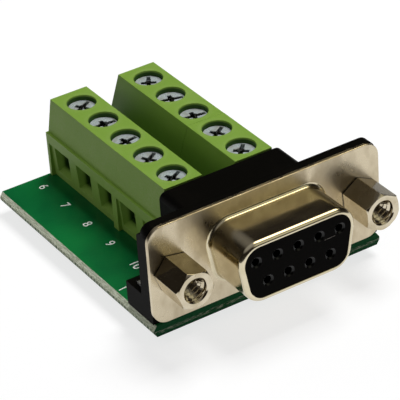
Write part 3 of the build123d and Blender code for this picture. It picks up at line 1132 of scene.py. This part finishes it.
@dataclass
class Board:
    """The circuit board with its print, its tracks and its solder."""

    finishes: Finishes
    edge: float = 0.06
    digit_height: float = 1.22
    digit_weight: float = 0.008
    digit_start: float = 0.4
    digit_spread: float = 1.034
    digit_middle: float = 7.55
    digit_shift: float = 0.50
    digit_x: float = 10.60
    type_over_digit: float = 1.38
    print_thick: float = 0.02
    tick_x: float = 14.23
    tick_y: float = -6.05
    tick_reach: float = 0.5
    tick_rise: float = 0.1
    tick_half: float = 0.06
    track_half: float = 0.24
    track_thick: float = 0.03
    track_cut: float = 0.9
    track_leave: float = 0.01
    track_turn: float = 0.6
    lane_first: float = 9.6
    lane_step: float = 0.8
    row_step: float = 0.62
    lead_half: float = 0.3
    tail_cone: SolderCone = SolderCone(0.424, 0.42, 0.9)
    pin_cone: SolderCone = SolderCone(0.583, 0.62, 1.0)

    def build(self) -> None:
        """Dresses the board and adds what is printed and soldered on it."""
        low, high = box_mm("circuit_board")
        self.under = low.z
        self.top = high.z
        dress("circuit_board", self.finishes.board, self.edge)
        for number in TERMINALS:
            self.digit(number)
        self.tick()
        self.tracks()
        self.solder()

    def pin(self, number: int) -> Vector:
        """Gives the middle of a terminal pin's leg, where it passes the board.

        Args:
            number: The terminal.

        Returns:
            The place in millimetres.
        """
        low, high = box_mm(f"solder_pin_{number}")
        side = 1 if low.x > 0 else -1
        inner = low.x if side > 0 else high.x
        return Vector((inner + side * self.lead_half, (low.y + high.y) / 2, 0.0))

    def tail(self, number: int) -> Vector:
        """Gives the middle of a contact's tail, where it passes the board."""
        low, high = box_mm(f"contact_{number}")
        return Vector(((low.x + high.x) / 2, high.y - self.lead_half, 0.0))

    def digit(self, number: int) -> None:
        """Prints a terminal's number beside it.

        Args:
            number: The terminal.
        """
        pin = self.pin(number)
        side = 1 if pin.x > 0 else -1
        curve = bpy.data.curves.new(f"print_{number}", "FONT")
        curve.body = str(number)
        curve.size = self.digit_height * self.type_over_digit * MM
        curve.align_x = "LEFT"
        curve.align_y = "CENTER"
        curve.extrude = self.print_thick / 2 * MM
        curve.offset = self.digit_weight * MM
        letter = bpy.data.objects.new(f"print_{number}_curve", curve)
        bpy.context.scene.collection.objects.link(letter)
        bpy.context.view_layer.update()
        mesh = bpy.data.meshes.new_from_object(letter.evaluated_get(bpy.context.evaluated_depsgraph_get()))
        bpy.data.objects.remove(letter)
        form = bmesh.new()
        form.from_mesh(mesh)
        bmesh.ops.scale(form, vec=(1 / MM, 1 / MM, 1 / MM), verts=form.verts)
        bmesh.ops.translate(form, vec=(-self.digit_height * self.digit_start, 0, 0), verts=form.verts)
        turn = Matrix.Rotation(radians(90 * side), 4, "Z")
        along = self.digit_middle + self.digit_shift + (pin.y - self.digit_middle) * self.digit_spread
        shift = Matrix.Translation((side * self.digit_x, along, self.top + self.print_thick / 2))
        bmesh.ops.transform(form, matrix=shift @ turn, verts=form.verts)
        mesh_piece(f"printed_{number}", form, self.finishes.ink, ROOT)

    def tick(self) -> None:
        """Prints the short stroke by the board's left edge."""
        start = Vector((-self.tick_x - self.tick_reach, self.tick_y, 0))
        end = Vector((-self.tick_x + self.tick_reach, self.tick_y + self.tick_rise, 0))
        form = bmesh.new()
        self.ribbon(form, [start, end], self.tick_half, self.top, self.print_thick)
        mesh_piece("printed_tick", form, self.finishes.ink, ROOT)

    @staticmethod
    def ribbon(form: bmesh.types.BMesh, points: list[Vector], half: float, level: float,
               thick: float) -> None:
        """Lays a flat strip along a line of points.

        Args:
            form: The form that it is added to.
            points: The line.
            half: Half the strip's width.
            level: Height of its foot.
            thick: Its thickness, negative below a face.
        """
        rings = []
        for index, point in enumerate(points):
            before = (point - points[index - 1]).normalized() if index else None
            after = (points[index + 1] - point).normalized() if index + 1 < len(points) else None
            way = ((before or after) + (after or before)).normalized()
            across = Vector((-way.y, way.x, 0))
            straight = Vector((-(before or after).y, (before or after).x, 0))
            reach = half / max(across.dot(straight), 0.5)
            left = point + across * reach
            right = point - across * reach
            corners = ((left, 0), (right, 0), (right, thick), (left, thick))
            rings.append([form.verts.new((spot.x, spot.y, level + rise)) for spot, rise in corners])
        tube(form, rings)

    def track_line(self, number: int) -> list[Vector]:
        """Finds a track's way from a contact's tail to its terminal.

        Args:
            number: The contact.

        Returns:
            The points of the line.
        """
        start = self.tail(number)
        end = self.pin(number)
        side = 1 if end.x > 0 else -1
        order = (number - 1) % WAYS
        lane = side * (self.lane_first - order * self.lane_step)
        out = order + 1 if side > 0 else order + 1 - WAYS
        row = start.y + out * self.row_step
        cut = self.track_cut
        short = cut * 0.3 if row > start.y else -cut * 0.3
        return [
            start,
            Vector((start.x + side * self.track_leave, row - short, 0)),
            Vector((start.x + side * self.track_turn, row, 0)),
            Vector((lane - side * cut, row, 0)),
            Vector((lane, row + cut, 0)),
            Vector((lane, end.y - cut, 0)),
            Vector((lane - side * cut, end.y, 0)),
            end,
        ]

    def tracks(self) -> None:
        """Lays the tracks under the mask of the board's underside."""
        form = bmesh.new()
        for number in CONTACTS:
            self.ribbon(form, self.track_line(number), self.track_half, self.under, -self.track_thick)
        mesh_piece("mask_tracks", form, self.finishes.trace, ROOT)

    def solder(self) -> None:
        """Pulls a hollow-sided cone of solder up round every lead."""
        form = bmesh.new()
        for number in CONTACTS:
            self.tail_cone.add(form, self.tail(number), self.under)
        for number in TERMINALS:
            self.pin_cone.add(form, self.pin(number), self.under)
        piece = mesh_piece("solder_menisci", form, self.finishes.solder, ROOT)
        for polygon in piece.data.polygons:
            polygon.use_smooth = True
        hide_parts("solder_joints")


@dataclass(frozen=True)
class DrawnShell:
    """The flange and the shell drawn out of it as one thin sheet."""

    width: float = 16.33
    height: float = 7.9
    corner: float = 2.6
    lean: float = 10.0
    sheet: float = 0.45
    root: float = 0.45
    rim: float = 0.58
    lip: float = 0.62
    edge: float = 0.09
    burr: float = 0.05
    bend_steps: int = 10
    edge_steps: int = 4
    flange_corner: float = 1.9
    hole: float = 1.6

    @property
    def outline(self) -> Outline:
        """The D."""
        return Outline(self.width, self.height, self.corner, self.lean)

    def profile(self, mouth: float, front: float, back: float) -> list[tuple[float, float]]:
        """Follows the sheet from the flange's front round the mouth to the flange's back.

        Args:
            mouth: The mouth's place along the axis.
            front: The flange's front.
            back: The flange's back.

        Returns:
            The inset from the D and the place along the axis, point by point.
        """
        arc = [pi / 2 * step / self.bend_steps for step in range(self.bend_steps + 1)]
        drawn = [(self.root * (sin(t) - 1), front - self.root * (1 - cos(t))) for t in arc]
        rolled = [(self.rim * (1 - cos(t)), mouth + self.rim * (1 - sin(t))) for t in arc]
        inside = [
            (self.lip, mouth + self.lip - self.rim),
            (self.lip, mouth + self.sheet),
            (self.sheet, mouth + self.rim + self.burr),
            (self.sheet, back),
        ]
        return drawn + rolled + inside

    def build(self, finishes: Finishes) -> None:
        """Makes the sheet in the place of the plain shell.

        Args:
            finishes: The object's finishes.
        """
        low, high = box_mm("front_shell")
        level = (low.z + high.z) / 2
        back = high.y
        front = flange_front()
        form = bmesh.new()
        rings = [self.outline.ring(form, inset, y, level) for inset, y in self.profile(low.y, front, back)]
        skin(form, rings, 1)
        flange = Outline(high.x - low.x, high.z - low.z, self.flange_corner)
        arc = [pi / 2 * step / self.edge_steps for step in range(self.edge_steps + 1)]
        edges = [(self.edge * (1 - sin(t)), front + self.edge * (1 - cos(t))) for t in arc]
        edges += [(0.0, back - self.burr), (self.burr, back)]
        rim = [flange.ring(form, inset, y, level) for inset, y in edges]
        skin(form, rim)
        holes = {front: [], back: []}
        for name in SIDES:
            x = middle_mm(f"jackscrew_{name}").x
            pair = [circle(form, Vector((x, y, level)), self.hole) for y in (front, back)]
            skin(form, pair)
            holes[front].append(pair[0])
            holes[back].append(pair[1])
        fill(form, [rim[0], rings[0], *holes[front]])
        fill(form, [rim[-1], rings[-1], *holes[back]])
        piece = mesh_piece("drawn_shell", form, finishes.flange, ROOT, finishes.nickel)
        smooth(piece)
        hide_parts("front_shell")


@dataclass(frozen=True)
class InsulatorFront:
    """The insulator's face, which fills the shell's mouth."""

    shell: DrawnShell
    clear: float = 0.03
    set_back: float = 0.07
    entry: float = 0.60
    entry_edge: float = 0.12
    barrel_radius: float = 0.8
    thick: float = 0.17

    def build(self, finishes: Finishes) -> None:
        """Makes the face with an entry for each contact.

        Args:
            finishes: The object's finishes.
        """
        low, high = box_mm("front_shell")
        level = (low.z + high.z) / 2
        front = low.y + self.set_back
        back = front + self.thick
        form = bmesh.new()
        inset = self.shell.lip + self.clear
        outer = [
            self.shell.outline.ring(form, inset + self.clear, front, level),
            self.shell.outline.ring(form, inset, front + self.clear, level),
            self.shell.outline.ring(form, inset, back, level),
        ]
        skin(form, outer)
        fronts = []
        backs = []
        for number in CONTACTS:
            _, contact_high = box_mm(f"contact_{number}")
            x = middle_mm(f"contact_{number}").x
            z = contact_high.z - self.barrel_radius
            entry = [
                circle(form, Vector((x, front, z)), self.entry + self.entry_edge),
                circle(form, Vector((x, front + self.entry_edge, z)), self.entry),
                circle(form, Vector((x, back, z)), self.entry - self.entry_edge),
            ]
            skin(form, entry, 1)
            fronts.append(entry[0])
            backs.append(entry[-1])
        fill(form, [outer[0], *fronts])
        fill(form, [outer[-1], *backs])
        piece = mesh_piece("insulator_front", form, finishes.face, ROOT, finishes.entry)
        smooth(piece)


@dataclass
class Connector:
    """The D-sub socket: shell, insulator, contacts, bracket, jackscrews and board locks."""

    finishes: Finishes
    insulator_edge: float = 0.05
    bracket_edge: float = 0.14
    contact_edge: float = 0.04
    screw_edge: float = 0.10
    lock_edge: float = 0.05
    bore_radius: float = 1.42
    bore_depth: float = 4.4
    thread_pitch: float = 0.635
    thread_depth: float = 0.27
    thread_root: float = 0.01
    nose_sink: float = 0.30

    def build(self) -> None:
        """Dresses the connector's parts and cuts the jackscrews' threads."""
        shell = DrawnShell()
        shell.build(self.finishes)
        InsulatorFront(shell).build(self.finishes)
        dress("front_shell", self.finishes.nickel)
        dress("contact_insulator", self.finishes.face, self.insulator_edge)
        dress("connector_bracket", self.finishes.black, self.bracket_edge, 2)
        for number in CONTACTS:
            dress(f"contact_{number}", self.finishes.gold, self.contact_edge)
        for name in SIDES:
            dress(f"jackscrew_{name}", self.finishes.turned, self.screw_edge, 3)
            dress(f"boardlock_{name}", self.finishes.tin, self.lock_edge)
            self.thread(name)

    def thread(self, name: str) -> None:
        """Winds the thread inside a jackscrew.

        Args:
            name: The side.
        """
        low, _ = box_mm(f"jackscrew_{name}")
        middle = middle_mm(f"jackscrew_{name}")
        start = Vector((middle.x, low.y + self.nose_sink, middle.z))
        turn = Matrix.Rotation(radians(-90), 4, "X")
        radius = self.bore_radius + self.thread_root
        length = self.bore_depth - self.nose_sink
        ridge = Thread(radius, self.thread_depth, self.thread_pitch, length, Wound.IN)
        form = ridge.build(Matrix.Translation(start) @ turn)
        mesh_piece(f"jack_thread_{name}", form, self.finishes.turned, ROOT)


@dataclass
class Terminals:
    """Both rows of screw terminals."""

    finishes: Finishes
    housing_edge: float = 0.07
    screw_edge: float = 0.05
    clamp_edge: float = 0.06
    pin_edge: float = 0.05
    shank_radius: float = 1.08
    shank_length: float = 3.4
    thread_depth: float = 0.13
    thread_pitch: float = 0.45
    thread_foot: float = 0.02
    thread_steps: int = 20

    def build(self) -> None:
        """Dresses the housings, screws, clamps and pins, and threads the screws."""
        for name in SIDES:
            for place in ("rear", "front"):
                dress(f"{name}_housing_{place}", self.finishes.green, self.housing_edge, 2)
        for number in TERMINALS:
            dress(f"terminal_screw_{number}", self.finishes.screw, self.screw_edge, 2)
            dress(f"clamp_cage_{number}", self.finishes.tin, self.clamp_edge)
            dress(f"solder_pin_{number}", self.finishes.tin, self.pin_edge)
            self.thread(number)

    def thread(self, number: int) -> None:
        """Winds the thread on a terminal screw's shank.

        Args:
            number: The terminal.
        """
        low, _ = box_mm(f"terminal_screw_{number}")
        middle = middle_mm(f"terminal_screw_{number}")
        foot = Vector((middle.x, middle.y, low.z + self.thread_foot))
        ridge = Thread(self.shank_radius, self.thread_depth, self.thread_pitch, self.shank_length,
                       steps=self.thread_steps)
        form = ridge.build(Matrix.Translation(foot))
        mesh_piece(f"screw_thread_{number}", form, self.finishes.screw, f"screw_{number}")


@dataclass(frozen=True)
class Lamp:
    """A soft white lamp that looks at the object and leaves no glint of its own in the metal."""

    name: str
    place: Triple
    size: float
    power: float

    def build(self, target: Vector) -> None:
        """Hangs the lamp.

        Args:
            target: What it looks at, in metres.
        """
        data = bpy.data.lights.new(self.name, "AREA")
        data.shape = "SQUARE"
        data.size = self.size
        data.energy = self.power
        lamp = bpy.data.objects.new(self.name, data)
        lamp.location = self.place
        lamp.rotation_euler = (target - Vector(self.place)).to_track_quat("-Z", "Y").to_euler()
        lamp.visible_glossy = False
        bpy.context.scene.collection.objects.link(lamp)


@dataclass
class Studio:
    """The floor, the light round the object and the camera."""

    azimuth: float = -30.46
    elevation: float = 32.26
    roll: float = -4.28
    shift_right: float = 7.54
    shift_down: float = 3.62
    distance: float = 267.97
    focal_pixels: float = 2405.0
    image_pixels: float = 400.0
    sensor: float = 36.0
    clip_start: float = 0.01
    clip_end: float = 20.0
    target_height: float = 0.006
    floor_half: float = 3.0
    paper: Colour = (0.30, 0.30, 0.30)
    glow: float = 0.74
    sheet_near: float = 90.0
    sheet_far: float = 200.0
    ambient: Colour = (0.10, 0.10, 0.104)
    window: Triple = (0.43, -0.73, 0.53)
    window_colour: Colour = (0.62, 0.60, 0.46)
    window_edge: Band = (0.92, 0.985)
    skylight: Triple = (0.45, 0.07, 0.89)
    skylight_colour: Colour = (4.2, 3.8, 2.7)
    skylight_edge: Band = (0.93, 0.975)
    lamps: tuple[Lamp, ...] = (
        Lamp("key", place=(0.18, 0.04, 0.52), size=0.24, power=2.45),
        Lamp("fill", place=(-0.50, -0.12, 0.16), size=0.30, power=0.36),
        Lamp("back", place=(-0.30, 0.48, 0.40), size=0.30, power=0.36),
    )
    dome: tuple[tuple[float, Colour], ...] = (
        (0.0, (0.30, 0.28, 0.25)),
        (0.03, (0.03, 0.025, 0.02)),
        (0.30, (0.020, 0.017, 0.014)),
        (0.58, (0.016, 0.013, 0.010)),
        (0.78, (0.26, 0.25, 0.24)),
        (1.0, (0.32, 0.32, 0.32)),
    )

    def build(self) -> None:
        """Sets the stage."""
        self.floor()
        self.world()
        self.camera()
        for lamp in self.lamps:
            lamp.build(Vector((0.0, 0.0, self.target_height)))
        bpy.context.scene.view_settings.view_transform = "Standard"

    def floor(self) -> None:
        """Lays a pale floor that shows white and keeps the object's shadow."""
        form = bmesh.new()
        corners = ((-1, -1), (1, -1), (1, 1), (-1, 1))
        form.faces.new([form.verts.new((x * self.floor_half, y * self.floor_half, 0)) for x, y in corners])
        mesh = bpy.data.meshes.new("floor")
        form.to_mesh(mesh)
        form.free()
        piece = bpy.data.objects.new("floor", mesh)
        bpy.context.scene.collection.objects.link(piece)
        g = Graph.material("floor_white")
        seen, mirrored, through = g.rays("Is Camera Ray", "Is Glossy Ray", "Is Transmission Ray")
        x, y, _ = g.axes(g.place())
        far = ((x * x + y * y) ** 0.5).ramp(self.sheet_near, self.sheet_far)
        dim = far * mirrored
        paper = g.node("ShaderNodeBsdfDiffuse", inputs={"Color": g.mix(dim, self.paper, (0.0, 0.0, 0.0))})
        strength = seen.either(mirrored).either(through) * (1.0 - dim) * self.glow
        glow = g.node("ShaderNodeEmission", inputs={"Color": (1.0, 1.0, 1.0), "Strength": strength})
        both = g.node("ShaderNodeAddShader", inputs={0: paper.outputs[0], 1: glow.outputs[0]})
        g.node("ShaderNodeOutputMaterial", inputs={"Surface": both.outputs[0]})
        piece.data.materials.append(g.owner)

    def world(self) -> None:
        """Surrounds the object with light: white to the camera, dark in metal but for two bright patches."""
        world = bpy.data.worlds.new("studio")
        bpy.context.scene.world = world
        g = Graph(world)
        seen, mirrored, through = g.rays("Is Camera Ray", "Is Glossy Ray", "Is Transmission Ray")
        way = g.wire("ShaderNodeTexCoord", out="Generated")
        _, _, up = g.axes(way)
        dome = g.wire("ShaderNodeValToRGB", {"stops": self.dome}, {"Fac": up})
        dome = g.mix(g.toward(way, self.window).ramp(*self.window_edge), dome, self.window_colour)
        dome = g.mix(g.toward(way, self.skylight).ramp(*self.skylight_edge), dome, self.skylight_colour)
        soft = g.mix(mirrored, self.ambient, dome)
        sky = g.mix(seen.either(through), soft, (1.0, 1.0, 1.0))
        back = g.node("ShaderNodeBackground", inputs={"Color": sky, "Strength": 1.0})
        g.node("ShaderNodeOutputWorld", inputs={"Surface": back.outputs[0]})

    def camera(self) -> None:
        """Stands the camera where the photograph was taken from."""
        turn = radians(self.azimuth)
        rise = radians(self.elevation)
        lean = radians(self.roll)
        back = Vector((sin(turn) * cos(rise), -cos(turn) * cos(rise), sin(rise)))
        level_right = Vector((cos(turn), sin(turn), 0.0))
        level_down = (-back).cross(level_right)
        right = level_right * cos(lean) - level_down * sin(lean)
        down = level_right * sin(lean) + level_down * cos(lean)
        axis = Vector((0.0, flange_front(), middle_mm("jackscrew_left").z))
        centre = axis - right * self.shift_right - down * self.shift_down + back * self.distance
        data = bpy.data.cameras.new("camera")
        data.sensor_width = self.sensor
        data.lens = self.focal_pixels / self.image_pixels * self.sensor
        data.clip_start = self.clip_start
        data.clip_end = self.clip_end
        camera = bpy.data.objects.new("camera", data)
        axes = Matrix((right, -down, back)).transposed()
        camera.matrix_world = Matrix.Translation(centre * MM) @ axes.to_4x4()
        bpy.context.scene.collection.objects.link(camera)
        bpy.context.scene.camera = camera


def main() -> None:
    """Builds the object's looks in order and reports each piece."""
    logging.basicConfig(level=logging.INFO, format="%(name)s: %(message)s")
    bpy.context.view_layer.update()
    finishes = Finishes()
    for part in (Board(finishes), Connector(finishes), Terminals(finishes), Studio()):
        before = set(bpy.data.objects)
        part.build()
        added = sorted(item.name for item in bpy.data.objects if item not in before)
        log.info("%s: %s", type(part).__name__, ", ".join(added) or "no piece added")


if __name__ == "__main__":
    main()
